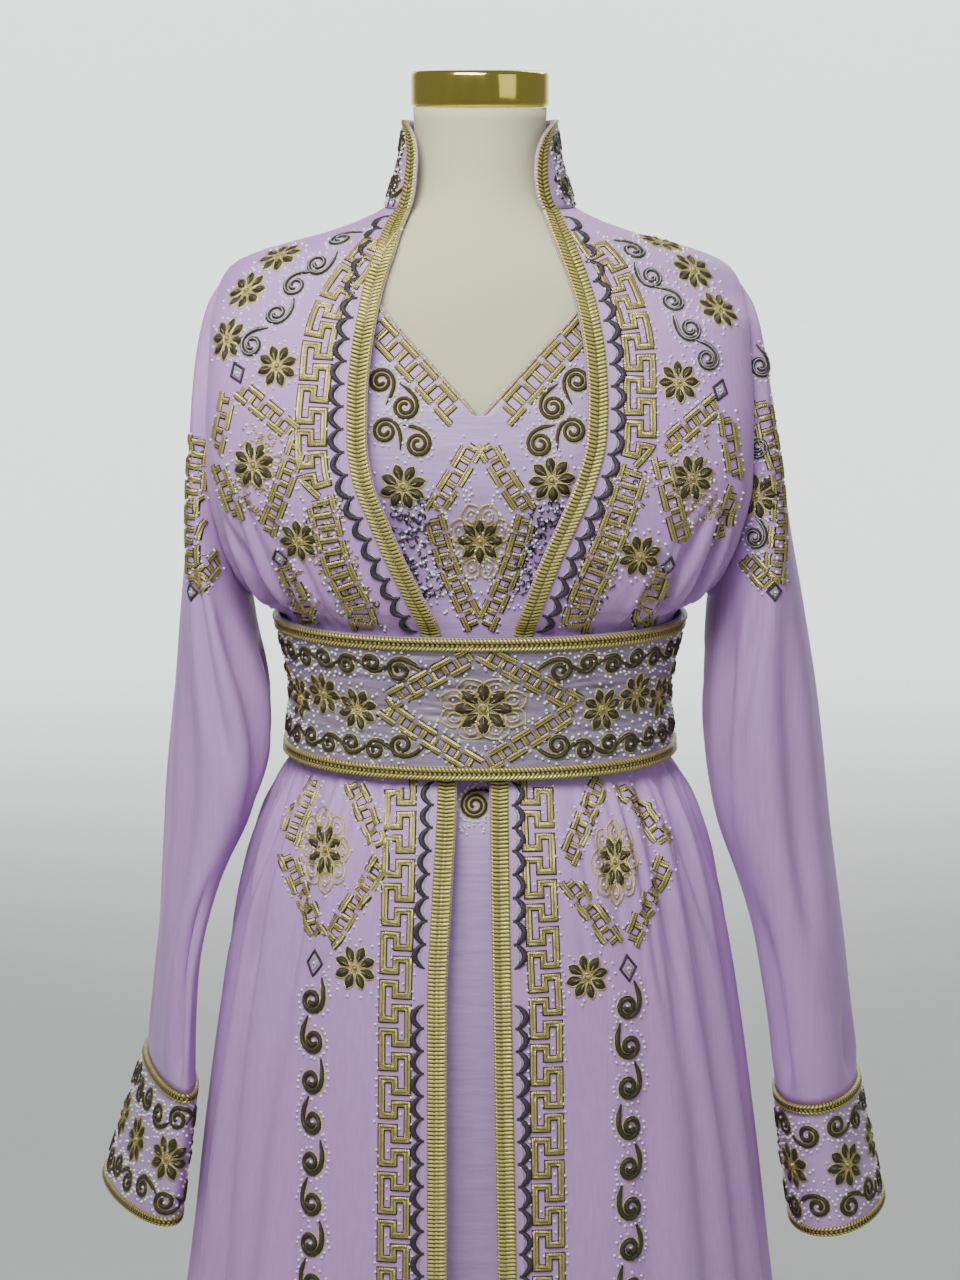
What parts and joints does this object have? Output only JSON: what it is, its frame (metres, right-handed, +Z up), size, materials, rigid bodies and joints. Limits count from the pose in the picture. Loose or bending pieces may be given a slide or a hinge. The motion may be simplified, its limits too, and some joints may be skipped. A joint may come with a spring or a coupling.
{
  "type": "kaftan on a limbless dress form",
  "caption": "Long open-fronted robe with a stand collar and cuffed sleeves over a V-necked dress, belted, on a limbless dress form with a round foot.",
  "frame": {"origin": "on the floor under the middle of the garment's box, below the form's pole", "axes": "+Z up, -Y out of the front of the garment, -X towards the wearer's right side"},
  "size_m": [0.6174, 0.5652, 1.5406],
  "materials": {
    "lilac_crepe": "soft lilac crepe satin",
    "lilac_satin": "lilac satin, stiffened where embroidered",
    "gold_braid": "flat braid and cord work of old-gold metallic thread",
    "antique_thread": "flowers of dark antique-gold thread",
    "form_cloth": "ivory cloth stretched over the form",
    "gold_metal": "polished gold-coloured metal"
  },
  "bodies": {
    "root": {"robe_front_right": "lilac_crepe", "robe_front_left": "lilac_crepe", "robe_back": "lilac_crepe", "sleeve_right": "lilac_crepe", "sleeve_left": "lilac_crepe", "collar": "lilac_satin", "cuff_right": "lilac_satin", "cuff_left": "lilac_satin", "belt": "lilac_satin", "belt_flap": "lilac_satin", "under_bodice_front": "lilac_satin", "under_bodice_back": "lilac_satin", "under_skirt_front": "lilac_satin", "under_skirt_back": "lilac_satin", "front_braid_right": "gold_braid", "front_braid_left": "gold_braid", "belt_braid_top": "gold_braid", "belt_braid_bottom": "gold_braid", "cuff_braid_top_right": "gold_braid", "cuff_braid_top_left": "gold_braid", "cuff_braid_hem_right": "gold_braid", "cuff_braid_hem_left": "gold_braid", "belt_diamond": "gold_braid", "skirt_diamond_right": "gold_braid", "skirt_diamond_left": "gold_braid", "chest_band_right": "gold_braid", "chest_band_left": "gold_braid", "skirt_band_right": "gold_braid", "skirt_band_left": "gold_braid", "flower_belt_middle": "antique_thread", "flower_belt_right": "antique_thread", "flower_belt_left": "antique_thread", "flower_bodice_middle": "antique_thread", "flower_bodice_right": "antique_thread", "flower_bodice_left": "antique_thread", "flower_shoulder_right": "antique_thread", "flower_chest_right": "antique_thread", "flower_side_right": "antique_thread", "flower_rib_right": "antique_thread", "flower_shoulder_left": "antique_thread", "flower_arm_left": "antique_thread", "flower_chest_left": "antique_thread", "flower_side_left": "antique_thread", "flower_rib_left": "antique_thread", "flower_hip_right": "antique_thread", "flower_hip_left": "antique_thread", "flower_skirt_right": "antique_thread", "flower_skirt_left": "antique_thread", "flower_cuff_right": "antique_thread", "flower_cuff_left": "antique_thread", "form_torso": "form_cloth", "neck_cap": "gold_metal", "form_socket": "gold_metal", "pole": "gold_metal", "foot": "gold_metal"}
  },
  "joints": []
}
